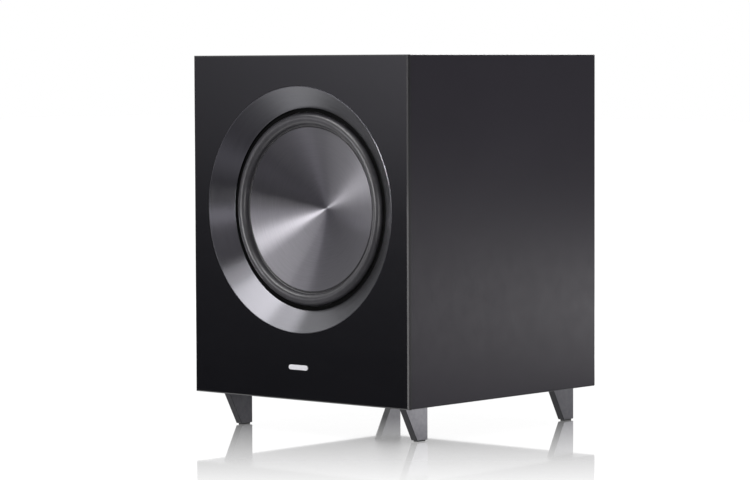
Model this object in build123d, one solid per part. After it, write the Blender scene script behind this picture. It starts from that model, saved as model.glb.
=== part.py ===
from build123d import *
import math
import os

# Active subwoofer with one front-firing 200 mm driver, a rear bass port and a rear plate amplifier.
# Millimetres, +Z up. The origin is on the floor under the middle of the part; the front faces -Y.
# "Depth" is the distance behind the front face, so y = FRONT_Y + depth.

# Cabinet
WIDTH = 292.0
HEIGHT = 350.0
DEPTH = 304.0
FOOT_HEIGHT = 36.7
KNOB_OVERHANG = 10.0            # how far the rear controls stand behind the cabinet
BOARD = 12.0                    # thickness of the four wrapped boards
EDGE_RADIUS = 1.5
PANEL = 5.0                     # glossy front panel
PANEL_CHAMFER = 1.2
BADGE_PROUD = 1.2               # how far the badge stands in front of the panel
OUTER_BAFFLE = 17.0
INNER_BAFFLE = 15.0
REAR_BOARD = 15.0
REAR_RECESS = 5.0               # the rear board sits this far inside the wrap

# Driver, as (radius, depth) sizes about its own axis
DRIVER_ABOVE_BASE = 193.5
RING_OUTER_R = 125.3
RING_INNER_R = 103.0
RING_DEPTH = 16.5
RING_GAP = 0.3
RING_PEG_R = 118.5
RING_PEG = 2.5
RING_PEG_END = 30.0
DRIVER_SCREW_R = 109.0
FLANGE_R = 112.0
FLANGE_DEPTH = 19.5
FLANGE_SHEET = 1.5
BASKET_R = 96.4
CUTOUT_R = 97.0
POCKET_R = 127.0
DISH_R = 83.7
DISH_RIM_DEPTH = 18.2
DISH_APEX_DEPTH = 43.5
DISH_CURVE = 1.4                # 1 would be a straight cone
DISH_SHEET = 0.7
ROLL_R = 92.6                   # radius of the surround's crest
ROLL_HEIGHT = 6.9
ROLL_SHEET = 0.9
SHELF_DEPTH = 66.0              # where the basket carries the spider
PLATE_DEPTH = 82.0              # front of the motor's front plate
FORMER_R = 25.3
COIL_DEPTHS = (78.0, 94.0)
POLE_R = 24.6
GAP_R = 27.9

# Rear
PORT_ABOVE_BASE = 288.0
PORT_R = 27.0
PORT_WALL = 2.5
PORT_FLARE = 12.0
PORT_FLANGE_R = 46.0
PORT_LENGTH = 133.0
AMP_WIDTH = 172.0
AMP_HEIGHT = 196.0
AMP_ABOVE_BASE = 128.0          # height of the middle of the amplifier plate
AMP_SHEET = 3.0
AMP_LIP = 8.0                   # the plate's overlap on the rear board
GASKET = 1.0
COVER_SIZE = (150.0, 174.0, 68.0)
COVER_SHEET = 1.0
VENT_WIDTH = 8.0
VENT_PITCH = 16.0

# Controls on the amplifier plate, as (x, height above the cabinet's base)
LEVEL_AT = (45.0, 136.0)
CROSSOVER_AT = (0.0, 136.0)
PHASE_AT = (-45.0, 136.0)
JACKS_AT = (18.0, 94.0)
LIGHT_AT = (-45.0, 94.0)
ROCKER_AT = (40.0, 55.0)
INLET_AT = (-36.0, 55.0)
HEAT_SINK_AT = (0.0, 191.0)
PHASE_WINDOW = (11.0, 4.4)
ROCKER_WINDOW = (14.2, 20.0)
INLET_WINDOW = (24.2, 16.2)
JACK_SPACING = 20.0
SLEEVE_R = 4.15                 # outer contact of each phono jack
SLEEVE_TAIL_R = 3.7             # the part of the sleeve held in the block
SLEEVE_BORE = 3.3
ROCKER_TILT = 8.0
ROCKER_PIVOT = 300.2            # depth of the rocker's axis
TRANSFORMER_AT = (0.0, 70.0)
KNOB_R = 10.0
SINK_SIZE = (120.0, 46.0, 9.6)  # width, height and depth
SINK_BASE = 2.4
FINS = 13
FIN = 2.2

# Feet
FOOT_THICKNESS = 8.0
FOOT_TOP = 35.5
FOOT_BOTTOM = 16.0
FOOT_INSET = 21.4               # from the cabinet's side to the foot's outer face
FRONT_FOOT_REAR_EDGE = 54.9     # depth of the foot's upright rear edge
REAR_FOOT_REAR_EDGE = 295.0
FRONT_FOOT_SCREWS = (5.5, 13.5)  # how far the two screws sit ahead of that edge
REAR_FOOT_SCREWS = (16.5, 26.0)
FOOT_CORNER_R = 0.7
FOOT_RIM_R = 0.4
PAD = 1.2

# Places worked out from the sizes above
FRONT_Y = (BADGE_PROUD - DEPTH - KNOB_OVERHANG) / 2
BASE_Z = FOOT_HEIGHT
TOP_Z = BASE_Z + HEIGHT
MID_Z = BASE_Z + HEIGHT / 2
DRIVER_Z = BASE_Z + DRIVER_ABOVE_BASE
PORT_Z = BASE_Z + PORT_ABOVE_BASE
AMP_Z = BASE_Z + AMP_ABOVE_BASE
POCKET_DEPTH = PANEL + OUTER_BAFFLE
REAR_FACE = DEPTH - REAR_RECESS
AMP_INNER = REAR_FACE + GASKET
AMP_FACE = AMP_INNER + AMP_SHEET
COVER_DEPTH = AMP_INNER - COVER_SIZE[2]
CONTROL_BOARD_DEPTH = AMP_INNER - 8.0
CORE_DEPTHS = (COVER_DEPTH + 11.0, COVER_DEPTH + 33.0)


def block(x_range, depth_range, z_range):
    """Box between two corners."""
    sizes = [b - a for a, b in (x_range, depth_range, z_range)]
    corner = (x_range[0], FRONT_Y + depth_range[0], z_range[0])
    return Pos(*corner) * Box(*sizes, align=(Align.MIN, Align.MIN, Align.MIN))


def turned(points, x=0.0, z=0.0):
    """Solid of revolution about an axis along Y, from (radius, depth) points."""
    return turned_face(make_face(Polyline(*points, close=True)), x, z)


def turned_face(face, x=0.0, z=0.0):
    return Pos(x, FRONT_Y, z) * revolve(face, Axis.Y)


def disc(radius, depth_range, x=0.0, z=0.0, inner=0.0):
    """Disc, tube or pin along Y."""
    near, far = depth_range
    return turned([(inner, near), (radius, near), (radius, far), (inner, far)], x, z)


def around(count, radius, start=0.0):
    """Offsets (x, z) evenly spaced on a circle."""
    angles = [math.radians(start + i * 360.0 / count) for i in range(count)]
    return [(radius * math.cos(a), radius * math.sin(a)) for a in angles]


def screw(head_r, head_height, shank_r, length):
    """Pan-head screw with a cross recess; its seat is at the origin and its shank points down."""
    head = Cylinder(head_r, head_height, align=(Align.CENTER, Align.CENTER, Align.MIN))
    head = fillet(head.edges().group_by(Axis.Z)[-1], head_height * 0.45)
    for angle in (0, 90):
        bar = Box(head_r * 1.2, head_r * 0.3, head_height, align=(Align.CENTER, Align.CENTER, Align.MIN))
        head -= Pos(0, 0, head_height * 0.45) * Rot(0, 0, angle) * bar
    return head + Cylinder(shank_r, length, align=(Align.CENTER, Align.CENTER, Align.MAX))


def screws_at(places, seat_depth, rotation, size):
    """Group of separate screws whose seats lie at one depth."""
    group = [Pos(x, FRONT_Y + seat_depth, z) * rotation * screw(*size) for x, z in places]
    return Compound(children=group)


FROM_FRONT = Rot(90, 0, 0)      # turns a screw so that its head faces the front
FROM_REAR = Rot(-90, 0, 0)


# ---------------------------------------------------------------- cabinet

def wrap():
    """The four boards as one tube, before its mitres part them."""
    outer = fillet(Rectangle(WIDTH, HEIGHT).vertices(), EDGE_RADIUS)
    inner = Rectangle(WIDTH - 2 * BOARD, HEIGHT - 2 * BOARD)
    ring = Plane.XZ * (outer - inner)
    return Pos(0, FRONT_Y + DEPTH, MID_Z) * extrude(ring, DEPTH - PANEL)


def mitred_board(tube, angle):
    """The board on one side of the tube, cut at 45 degrees through its corners."""
    across, up = (WIDTH, HEIGHT) if angle % 180 == 0 else (HEIGHT, WIDTH)
    reach = 40.0
    wedge = Polyline(
        (-across / 2 - 1, up / 2 + 1),
        (across / 2 + 1, up / 2 + 1),
        (across / 2 - reach, up / 2 - reach),
        (-across / 2 + reach, up / 2 - reach),
        close=True,
    )
    wedge_solid = extrude(Plane.XZ * make_face(wedge), DEPTH)
    cutter = Pos(0, FRONT_Y + DEPTH + 1, MID_Z) * Rot(0, angle, 0) * wedge_solid
    return tube & cutter


def foot_screw_places():
    """(x, depth) of the two screws in each foot."""
    middle_x = WIDTH / 2 - FOOT_INSET - FOOT_THICKNESS / 2
    depths = [FRONT_FOOT_REAR_EDGE - back for back in FRONT_FOOT_SCREWS]
    depths += [REAR_FOOT_REAR_EDGE - back for back in REAR_FOOT_SCREWS]
    return [(side * middle_x, depth) for side in (-1, 1) for depth in depths]


def bottom_board(tube):
    board = mitred_board(tube, 180)
    for x, depth in foot_screw_places():
        board -= Pos(x, FRONT_Y + depth, BASE_Z + BOARD / 2) * Cylinder(2.3, BOARD + 1)
    return board


def front_panel():
    half = WIDTH / 2
    panel = block((-half, half), (0, PANEL), (BASE_Z, TOP_Z))
    front_edges = panel.faces().sort_by(Axis.Y)[0].edges()
    panel = chamfer(front_edges, PANEL_CHAMFER)
    return panel - disc(RING_OUTER_R + RING_GAP, (-1, PANEL + 1), 0, DRIVER_Z)


def baffle(depth_range, hole_r):
    half = WIDTH / 2 - BOARD
    board = block((-half, half), depth_range, (BASE_Z + BOARD, TOP_Z - BOARD))
    return board - disc(hole_r, (depth_range[0] - 1, depth_range[1] + 1), 0, DRIVER_Z)


def inner_baffle():
    far = POCKET_DEPTH + INNER_BAFFLE
    board = baffle((POCKET_DEPTH, far), CUTOUT_R)
    for x, z in around(6, RING_PEG_R, 30):
        board -= disc(RING_PEG + 0.1, (POCKET_DEPTH - 1, RING_PEG_END + 1), x, DRIVER_Z + z)
    for x, z in around(8, DRIVER_SCREW_R, 22.5):
        board -= disc(1.9, (POCKET_DEPTH - 1, POCKET_DEPTH + 14), x, DRIVER_Z + z)
    return board


def rear_board():
    half = WIDTH / 2 - BOARD
    span = (REAR_FACE - REAR_BOARD, REAR_FACE)
    cut = (span[0] - 1, span[1] + 1)
    board = block((-half, half), span, (BASE_Z + BOARD, TOP_Z - BOARD))
    board -= disc(PORT_R + PORT_FLARE, cut, 0, PORT_Z)
    half_w = AMP_WIDTH / 2 - AMP_LIP
    half_h = AMP_HEIGHT / 2 - AMP_LIP
    board -= block((-half_w, half_w), cut, (AMP_Z - half_h, AMP_Z + half_h))
    for x, z in amp_plate_screw_places():
        board -= disc(1.7, (REAR_FACE - 12, REAR_FACE + 1), x, z)
    return board


def window_brace():
    """Frame glued across the inside, between the driver and the amplifier."""
    half = WIDTH / 2 - BOARD
    brace = block((-half, half), (146.0, 158.0), (BASE_Z + BOARD, TOP_Z - BOARD))
    window = extrude(Plane.XZ * fillet(Rectangle(216.0, 270.0).vertices(), 30.0), 40.0, both=True)
    return brace - Pos(0, FRONT_Y + 152.0, MID_Z) * window


# ---------------------------------------------------------------- trim

def trim_ring():
    """Dished metal ring that covers the driver's flange, held by six pegs."""
    ring = turned([
        (RING_OUTER_R, 0.0),
        (RING_OUTER_R - 0.8, 0.0),
        (RING_INNER_R, RING_DEPTH),
        (RING_INNER_R, RING_DEPTH + 1.6),
        (RING_INNER_R + 2.0, RING_DEPTH + 1.6),
        (RING_OUTER_R, 3.0),
    ], 0, DRIVER_Z)
    for x, z in around(6, RING_PEG_R, 30):
        ring += disc(RING_PEG, (7.0, RING_PEG_END), x, DRIVER_Z + z)
    return ring


def badge():
    """Plain raised bar, with no lettering."""
    bar = extrude(Plane.XZ * SlotOverall(26.0, 5.0), BADGE_PROUD)
    bar = chamfer(bar.faces().sort_by(Axis.Y)[0].edges(), 0.4)
    return Pos(0, FRONT_Y, BASE_Z + 33.6) * bar


# ---------------------------------------------------------------- driver

def dish_depth(radius):
    """Depth of the dish's front at a radius: a shallow bell that steepens towards the rim."""
    share = (radius / DISH_R) ** DISH_CURVE
    return DISH_APEX_DEPTH - (DISH_APEX_DEPTH - DISH_RIM_DEPTH) * share


def diaphragm():
    steps = 10
    radii = [DISH_R * i / steps for i in range(steps + 1)]
    front = Spline(*[(r, dish_depth(r)) for r in radii])
    back = Spline(*[(r, dish_depth(r) + DISH_SHEET) for r in reversed(radii)])
    rim = Line(front @ 1, back @ 0)
    axis = Line(back @ 1, front @ 0)
    return turned_face(make_face([front, rim, back, axis]), 0, DRIVER_Z)


def surround():
    """Half-roll rubber edge, from the basket's flange to the back of the dish's rim."""
    seat = FLANGE_DEPTH
    top = seat - 0.8
    outer = ROLL_HEIGHT
    inner = ROLL_HEIGHT - ROLL_SHEET
    rim = DISH_RIM_DEPTH + DISH_SHEET
    lines = [
        Line((RING_INNER_R + 2.0, top), (ROLL_R + outer, top)),
        ThreePointArc((ROLL_R + outer, top), (ROLL_R, top - outer), (ROLL_R - outer, top)),
        Line((ROLL_R - outer, top), (DISH_R + 0.5, top)),
        Line((DISH_R + 0.5, top), (DISH_R + 0.5, rim)),
        Line((DISH_R + 0.5, rim), (DISH_R - 3.5, rim + 1.65)),
        Line((DISH_R - 3.5, rim + 1.65), (DISH_R - 3.5, rim + 2.4)),
        Line((DISH_R - 3.5, rim + 2.4), (ROLL_R - inner, seat)),
        ThreePointArc((ROLL_R - inner, seat), (ROLL_R, seat - inner), (ROLL_R + inner, seat)),
        Line((ROLL_R + inner, seat), (RING_INNER_R + 2.0, seat)),
        Line((RING_INNER_R + 2.0, seat), (RING_INNER_R + 2.0, top)),
    ]
    return turned_face(make_face(lines), 0, DRIVER_Z)


def driver_basket():
    """Pressed steel frame: flange, six-spoked cone, spider shelf and motor seat."""
    deep = FLANGE_DEPTH + FLANGE_SHEET
    basket = turned([
        (FLANGE_R, FLANGE_DEPTH),
        (BASKET_R + 2.6, FLANGE_DEPTH),
        (BASKET_R - 1.4, FLANGE_DEPTH + 3.0),
        (BASKET_R - 1.4, 31.0),
        (65.0, SHELF_DEPTH),
        (52.0, SHELF_DEPTH),
        (52.0, PLATE_DEPTH - 2.0),
        (30.0, PLATE_DEPTH - 2.0),
        (30.0, PLATE_DEPTH),
        (54.0, PLATE_DEPTH),
        (54.0, SHELF_DEPTH + 1.6),
        (66.3, SHELF_DEPTH + 1.6),
        (BASKET_R, 31.6),
        (BASKET_R, deep),
        (FLANGE_R, deep),
    ], 0, DRIVER_Z)
    window = block((-26.0, 26.0), (35.0, SHELF_DEPTH - 3.0), (60.0, 110.0))
    for i in range(6):
        basket -= Pos(0, 0, DRIVER_Z) * Rot(0, 60.0 * i, 0) * window
    for x, z in around(8, DRIVER_SCREW_R, 22.5):
        basket -= disc(2.2, (FLANGE_DEPTH - 1, deep + 1), x, DRIVER_Z + z)
    return basket


def driver_seal():
    seal = disc(FLANGE_R, (FLANGE_DEPTH + FLANGE_SHEET, POCKET_DEPTH), 0, DRIVER_Z, CUTOUT_R + 0.5)
    for x, z in around(8, DRIVER_SCREW_R, 22.5):
        seal -= disc(2.2, (FLANGE_DEPTH, POCKET_DEPTH + 1), x, DRIVER_Z + z)
    return seal


def spider():
    """Corrugated cloth disc that centres the voice coil."""
    rings = 5
    inner, outer = FORMER_R + 0.55, 52.5
    pitch = (outer - inner) / rings
    front = []
    for i in range(rings * 2 + 1):
        swing = 1.4 if i % 2 else -1.4
        front.append((inner + pitch * i / 2, SHELF_DEPTH - 3.4 + swing))
    front += [(outer + 1.5, SHELF_DEPTH - 0.6), (63.5, SHELF_DEPTH - 0.6)]
    back = [(r, depth + 0.6) for r, depth in reversed(front)]
    return turned(front + back, 0, DRIVER_Z)


def voice_coil_former():
    start = dish_depth(FORMER_R) + DISH_SHEET + 0.1
    return disc(FORMER_R + 0.5, (start, COIL_DEPTHS[1] + 1.0), 0, DRIVER_Z, FORMER_R)


def yoke():
    """Back plate and pole in one piece, with a vent through the middle."""
    return turned([
        (6.0, PLATE_DEPTH),
        (POLE_R, PLATE_DEPTH),
        (POLE_R, 108.0),
        (54.0, 108.0),
        (54.0, 115.0),
        (6.0, 115.0),
    ], 0, DRIVER_Z)


def terminal_strip():
    strip = block((-13, 13), (SHELF_DEPTH + 1.6, SHELF_DEPTH + 3.2), (-78.0, -55.5))
    return Pos(0, 0, DRIVER_Z) * strip


def terminal_tabs():
    tab = block((-3.15, 3.15), (SHELF_DEPTH + 3.2, SHELF_DEPTH + 4.0), (-86.0, -66.0))
    return Compound(children=[Pos(x, 0, DRIVER_Z) * tab for x in (-7.0, 7.0)])


def wire(points, radii, thickness_r):
    """Round wire along straight runs joined by arcs, from (x, depth, z) points."""
    path = FilletPolyline(*[(x, FRONT_Y + depth, z) for x, depth, z in points], radius=radii)
    section = Plane(origin=path @ 0, z_dir=path % 0) * Circle(thickness_r)
    return sweep(section, path)


def tinsel_leads():
    """Two flexible braids from the voice coil out to the terminal strip."""
    leads = []
    for x in (-7.0, 7.0):
        route = [
            (x, 56.0, DRIVER_Z - 25.2),
            (x, 52.0, DRIVER_Z - 40.0),
            (x, 56.5, DRIVER_Z - 66.0),
            (x, SHELF_DEPTH + 0.8, DRIVER_Z - 76.0),
        ]
        leads.append(wire(route, [14.0, 9.0], 0.7))
    return Compound(children=leads)


def speaker_lead():
    """Two insulated wires from the amplifier cover forward through the brace to the driver."""
    wires = []
    for side in (-1, 1):
        route = [
            (50.0 + 1.4 * side, COVER_DEPTH + 8.0, AMP_Z + 40.0),
            (50.0 + 1.4 * side, COVER_DEPTH - 20.0, AMP_Z + 40.0),
            (40.0 + 2.0 * side, COVER_DEPTH - 56.0, AMP_Z + 22.0),
            (24.0 + 3.0 * side, COVER_DEPTH - 92.0, AMP_Z - 14.0),
            (7.0 * side + 8.0, COVER_DEPTH - 132.0, AMP_Z - 34.0),
            (7.0 * side, SHELF_DEPTH + 9.0, AMP_Z - 26.0),
            (7.0 * side, SHELF_DEPTH + 5.1, DRIVER_Z - 82.0),
        ]
        wires.append(wire(route, [22.0, 22.0, 22.0, 20.0, 9.0], 1.1))
    return Compound(children=wires)


# ---------------------------------------------------------------- port

def port_tube():
    """Flared reflex tube, open at both ends."""
    face = AMP_FACE - 1.0
    seat = REAR_FACE
    end = seat - PORT_LENGTH
    skin_r = PORT_R + PORT_WALL
    flare = PORT_FLARE - 3.5
    inner_flare = 9.0
    tip = end + 2.0
    lines = [
        Line((PORT_FLANGE_R, seat), (PORT_FLANGE_R, face)),
        Line((PORT_FLANGE_R, face), (PORT_R + PORT_FLARE, face)),
        RadiusArc((PORT_R + PORT_FLARE, face), (PORT_R, face - PORT_FLARE), PORT_FLARE),
        Line((PORT_R, face - PORT_FLARE), (PORT_R, end + inner_flare)),
        RadiusArc((PORT_R, end + inner_flare), (PORT_R + inner_flare, end), inner_flare),
        Line((PORT_R + inner_flare, end), (PORT_R + inner_flare, tip)),
        RadiusArc((PORT_R + inner_flare, tip), (skin_r, tip + 6.5), -6.5),
        Line((skin_r, tip + 6.5), (skin_r, seat - flare)),
        RadiusArc((skin_r, seat - flare), (skin_r + flare, seat), -flare),
        Line((skin_r + flare, seat), (PORT_FLANGE_R, seat)),
    ]
    return turned_face(make_face(lines), 0, PORT_Z)


# ---------------------------------------------------------------- amplifier

def amp_plate_screw_places():
    half_w = AMP_WIDTH / 2 - AMP_LIP / 2
    half_h = AMP_HEIGHT / 2 - AMP_LIP / 2
    corners = [(x, AMP_Z + z) for x in (-half_w, 0.0, half_w) for z in (-half_h, half_h)]
    sides = [(x, AMP_Z + z) for x in (-half_w, half_w) for z in (-half_h / 3, half_h / 3)]
    return corners + sides


def cover_screw_places():
    half_w = COVER_SIZE[0] / 2 - 8.0
    half_h = COVER_SIZE[1] / 2 - 8.0
    return [(x, AMP_Z + z) for x in (-half_w, half_w) for z in (-half_h, half_h)]


def jack_places():
    x, up = JACKS_AT
    return [(x + side * JACK_SPACING / 2, BASE_Z + up) for side in (-1, 1)]


def amp_plate():
    half_w, half_h = AMP_WIDTH / 2, AMP_HEIGHT / 2
    plate = block((-half_w, half_w), (AMP_INNER, AMP_FACE), (AMP_Z - half_h, AMP_Z + half_h))
    plate = fillet(plate.edges().filter_by(Axis.Y), 5.0)
    plate = chamfer(plate.faces().sort_by(Axis.Y)[-1].edges(), 0.5)
    cut = (AMP_INNER - 1, AMP_FACE + 1)
    for x, z in amp_plate_screw_places() + cover_screw_places():
        plate -= disc(1.8, cut, x, z)
    for x, up in (LEVEL_AT, CROSSOVER_AT):
        plate -= disc(3.7, cut, x, BASE_Z + up)
    for x, z in jack_places():
        plate -= disc(5.2, cut, x, z)
    plate -= disc(1.6, cut, LIGHT_AT[0], BASE_Z + LIGHT_AT[1])
    windows = ((PHASE_AT, PHASE_WINDOW), (ROCKER_AT, ROCKER_WINDOW), (INLET_AT, INLET_WINDOW))
    for (x, up), (width, height) in windows:
        low = BASE_Z + up - height / 2
        plate -= block((x - width / 2, x + width / 2), cut, (low, low + height))
    return plate


def amp_gasket():
    half_w, half_h = AMP_WIDTH / 2 - 0.5, AMP_HEIGHT / 2 - 0.5
    lip = AMP_LIP - 0.5
    span = (REAR_FACE, AMP_INNER)
    gasket = block((-half_w, half_w), span, (AMP_Z - half_h, AMP_Z + half_h))
    gasket = fillet(gasket.edges().filter_by(Axis.Y), 4.5)
    cut = (span[0] - 1, span[1] + 1)
    gasket -= block((lip - half_w, half_w - lip), cut, (AMP_Z + lip - half_h, AMP_Z + half_h - lip))
    for x, z in amp_plate_screw_places():
        gasket -= disc(1.9, cut, x, z)
    return gasket


def amp_cover():
    """Sheet-steel box behind the plate, with vents, corner tabs and a hole for the speaker lead."""
    half_w, half_h = COVER_SIZE[0] / 2, COVER_SIZE[1] / 2
    t = COVER_SHEET
    cover = block((-half_w, half_w), (COVER_DEPTH, AMP_INNER), (AMP_Z - half_h, AMP_Z + half_h))
    room = (COVER_DEPTH + t, AMP_INNER + 1)
    cover -= block((t - half_w, half_w - t), room, (AMP_Z + t - half_h, AMP_Z + half_h - t))
    for x, z in cover_screw_places():
        out_x = math.copysign(half_w - t, x)
        out_z = AMP_Z + math.copysign(half_h - t, z - AMP_Z)
        span_x = sorted((x - math.copysign(5.0, x), out_x))
        span_z = sorted((z - math.copysign(5.0, z - AMP_Z), out_z))
        cover += block(span_x, (AMP_INNER - t, AMP_INNER), span_z)
        cover -= disc(1.8, (AMP_INNER - 2, AMP_INNER + 1), x, z)
    vent_depths = (COVER_DEPTH + 14, COVER_DEPTH + 44)
    for i in range(-3, 4):
        vent = (VENT_PITCH * i - VENT_WIDTH / 2, VENT_PITCH * i + VENT_WIDTH / 2)
        cover -= block(vent, vent_depths, (AMP_Z + half_h - 3, AMP_Z + half_h + 1))
        cover -= block(vent, vent_depths, (AMP_Z - half_h - 1, AMP_Z - half_h + 3))
    cover -= disc(5.5, (COVER_DEPTH - 1, COVER_DEPTH + 2), 50.0, AMP_Z + 40.0)
    for x, z in transformer_bolt_places():
        cover -= disc(1.8, (COVER_DEPTH - 1, COVER_DEPTH + 2), x, z)
    return cover


def heat_sink():
    """Extruded base with upright fins."""
    half_w, half_h = SINK_SIZE[0] / 2, SINK_SIZE[1] / 2
    x, up = HEAT_SINK_AT
    z_low, z_high = BASE_Z + up - half_h, BASE_Z + up + half_h
    sink = block((x - half_w, x + half_w), (AMP_FACE, AMP_FACE + SINK_SIZE[2]), (z_low, z_high))
    pitch = (2 * half_w - FIN) / (FINS - 1)
    gap_depths = (AMP_FACE + SINK_BASE, AMP_FACE + SINK_SIZE[2] + 1)
    for i in range(FINS - 1):
        near = x - half_w + FIN + i * pitch
        sink -= block((near, near + pitch - FIN), gap_depths, (z_low - 1, z_high + 1))
    return sink


def potentiometer(at):
    x, z = at[0], BASE_Z + at[1]
    body = disc(8.0, (CONTROL_BOARD_DEPTH, AMP_INNER), x, z)
    body += disc(3.5, (AMP_INNER, AMP_FACE + 1.0), x, z)
    return body - disc(3.05, (CONTROL_BOARD_DEPTH + 2, AMP_FACE + 2), x, z)


def knob_shaft(at):
    """Round shaft with a flat on the part that the knob grips."""
    x, z = at[0], BASE_Z + at[1]
    shaft = disc(3.0, (CONTROL_BOARD_DEPTH + 2.4, AMP_FACE + 8.5), x, z)
    flat = block((x - 4, x + 4), (AMP_FACE + 1.6, AMP_FACE + 9), (z + 1.5, z + 4))
    return shaft - flat


def knob(at):
    """Fluted knob with a pointer groove, bored for its shaft."""
    x, z = at[0], BASE_Z + at[1]
    top = DEPTH + KNOB_OVERHANG
    grip = disc(KNOB_R, (AMP_FACE + 0.6, top), x, z)
    grip = fillet(grip.edges().sort_by(Axis.Y)[-1], 0.9)
    for dx, dz in around(24, KNOB_R + 0.45):
        grip -= disc(1.0, (AMP_FACE + 2.5, top + 1), x + dx, z + dz)
    grip -= block((x - 0.7, x + 0.7), (top - 0.6, top + 1), (z + 2.0, z + KNOB_R + 1))
    grip -= disc(4.2, (AMP_FACE, AMP_FACE + 1.6), x, z)
    return grip - knob_shaft(at)


def phase_switch_body():
    x, z = PHASE_AT[0], BASE_Z + PHASE_AT[1]
    body = block((x - 10, x + 10), (CONTROL_BOARD_DEPTH, AMP_INNER), (z - 5, z + 5))
    return body - block((x - 7.5, x + 7.5), (CONTROL_BOARD_DEPTH + 2, AMP_INNER + 1), (z - 3.3, z + 3.3))


def phase_slider():
    """Slider at one end of its 5 mm travel."""
    x, z = PHASE_AT[0] + 2.5, BASE_Z + PHASE_AT[1]
    foot = block((x - 4.5, x + 4.5), (CONTROL_BOARD_DEPTH + 2.4, AMP_INNER - 0.6), (z - 3.0, z + 3.0))
    nub = block((x - 2.6, x + 2.6), (AMP_INNER - 1.0, AMP_FACE + 2.0), (z - 1.8, z + 1.8))
    for rib in (x - 1.5, x, x + 1.5):
        nub -= block((rib - 0.25, rib + 0.25), (AMP_FACE + 1.5, AMP_FACE + 3), (z - 3, z + 3))
    return foot + nub


def power_switch_body():
    x, z = ROCKER_AT[0], BASE_Z + ROCKER_AT[1]
    body = block((x - 7.0, x + 7.0), (284.0, AMP_FACE), (z - 9.9, z + 9.9))
    bezel = block((x - 8.2, x + 8.2), (AMP_FACE, AMP_FACE + 1.5), (z - 11.2, z + 11.2))
    bezel = chamfer(bezel.faces().sort_by(Axis.Y)[-1].edges(), 0.5)
    body += bezel
    body -= block((x - 5.7, x + 5.7), (288.0, AMP_FACE + 2), (z - 9.2, z + 9.2))
    pivot = Pos(x, FRONT_Y + ROCKER_PIVOT, z) * Rot(0, 90, 0) * Cylinder(1.25, 13.4)
    return body - pivot


def power_rocker():
    """Rocker tilted to its off position, on two stub pivots."""
    x, z = ROCKER_AT[0], BASE_Z + ROCKER_AT[1]
    outline = Polyline(
        (5.0, -8.2), (3.4, 0.0), (5.0, 8.2), (1.5, 8.2), (-5.5, 3.5), (-5.5, -3.5), (1.5, -8.2), close=True,
    )
    rocker = extrude(Plane.YZ * make_face(outline), 5.3, both=True)
    rocker += Rot(0, 90, 0) * Cylinder(1.2, 13.2)
    return Pos(x, FRONT_Y + ROCKER_PIVOT, z) * Rot(-ROCKER_TILT, 0, 0) * rocker


def mains_inlet():
    """Two-pole appliance inlet with a figure-of-eight mouth."""
    x, z = INLET_AT[0], BASE_Z + INLET_AT[1]
    body = block((x - 12, x + 12), (285.0, AMP_FACE), (z - 8, z + 8))
    rim = block((x - 14.5, x + 14.5), (AMP_FACE, AMP_FACE + 2.0), (z - 10.5, z + 10.5))
    rim = fillet(rim.edges().filter_by(Axis.Y), 3.0)
    mouth = (290.0, AMP_FACE + 3)
    inlet = body + rim - block((x - 4.3, x + 4.3), mouth, (z - 4.0, z + 4.0))
    for side in (-1, 1):
        inlet -= disc(4.7, mouth, x + side * 4.3, z)
    return inlet


def mains_inlet_pins():
    x, z = INLET_AT[0], BASE_Z + INLET_AT[1]
    pins = [disc(1.15, (290.0, AMP_FACE - 1.5), x + side * 4.3, z) for side in (-1, 1)]
    return Compound(children=pins)


def input_jack_block():
    x, z = JACKS_AT[0], BASE_Z + JACKS_AT[1]
    body = block((x - 20, x + 20), (CONTROL_BOARD_DEPTH, AMP_INNER), (z - 7, z + 7))
    for jack_x, jack_z in jack_places():
        body += disc(5.0, (AMP_INNER, AMP_FACE + 0.8), jack_x, jack_z)
        body -= disc(SLEEVE_TAIL_R, (AMP_INNER - 3, AMP_FACE + 1), jack_x, jack_z)
        body += disc(SLEEVE_BORE, (AMP_INNER - 3, AMP_FACE + 8.0), jack_x, jack_z)
        body -= disc(1.65, (AMP_INNER - 2, AMP_FACE + 9), jack_x, jack_z)
    return body


def input_jack_sleeves():
    sleeves = []
    for x, z in jack_places():
        tail = disc(SLEEVE_TAIL_R, (AMP_INNER - 3, AMP_FACE + 0.8), x, z, SLEEVE_BORE)
        sleeves.append(tail + disc(SLEEVE_R, (AMP_FACE + 0.8, AMP_FACE + 9.0), x, z, SLEEVE_BORE))
    return Compound(children=sleeves)


def status_light():
    x, z = LIGHT_AT[0], BASE_Z + LIGHT_AT[1]
    light = disc(1.5, (CONTROL_BOARD_DEPTH, AMP_FACE + 0.8), x, z)
    return fillet(light.edges().sort_by(Axis.Y)[-1], 0.7)


def control_board():
    z_span = (BASE_Z + 78.0, BASE_Z + 152.0)
    return block((-70, 70), (CONTROL_BOARD_DEPTH - 1.6, CONTROL_BOARD_DEPTH), z_span)


def amplifier_board():
    half = COVER_SIZE[0] / 2 - COVER_SHEET
    z = BASE_Z + 160.0
    return block((-half, half), (COVER_DEPTH + 6, AMP_INNER - 6), (z - 1.6, z))


def output_transistors():
    z = BASE_Z + 160.0
    devices = []
    for x in (-30.0, 0.0, 30.0):
        body = block((x - 8, x + 8), (AMP_INNER - 4.5, AMP_INNER), (z + 8, z + 28))
        for leg_x in (x - 5.0, x, x + 5.0):
            body += block((leg_x - 0.5, leg_x + 0.5), (AMP_INNER - 7.5, AMP_INNER - 2.0), (z + 8, z + 9))
            body += block((leg_x - 0.5, leg_x + 0.5), (AMP_INNER - 7.5, AMP_INNER - 6.9), (z, z + 9))
        devices.append(body)
    return Compound(children=devices)


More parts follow.
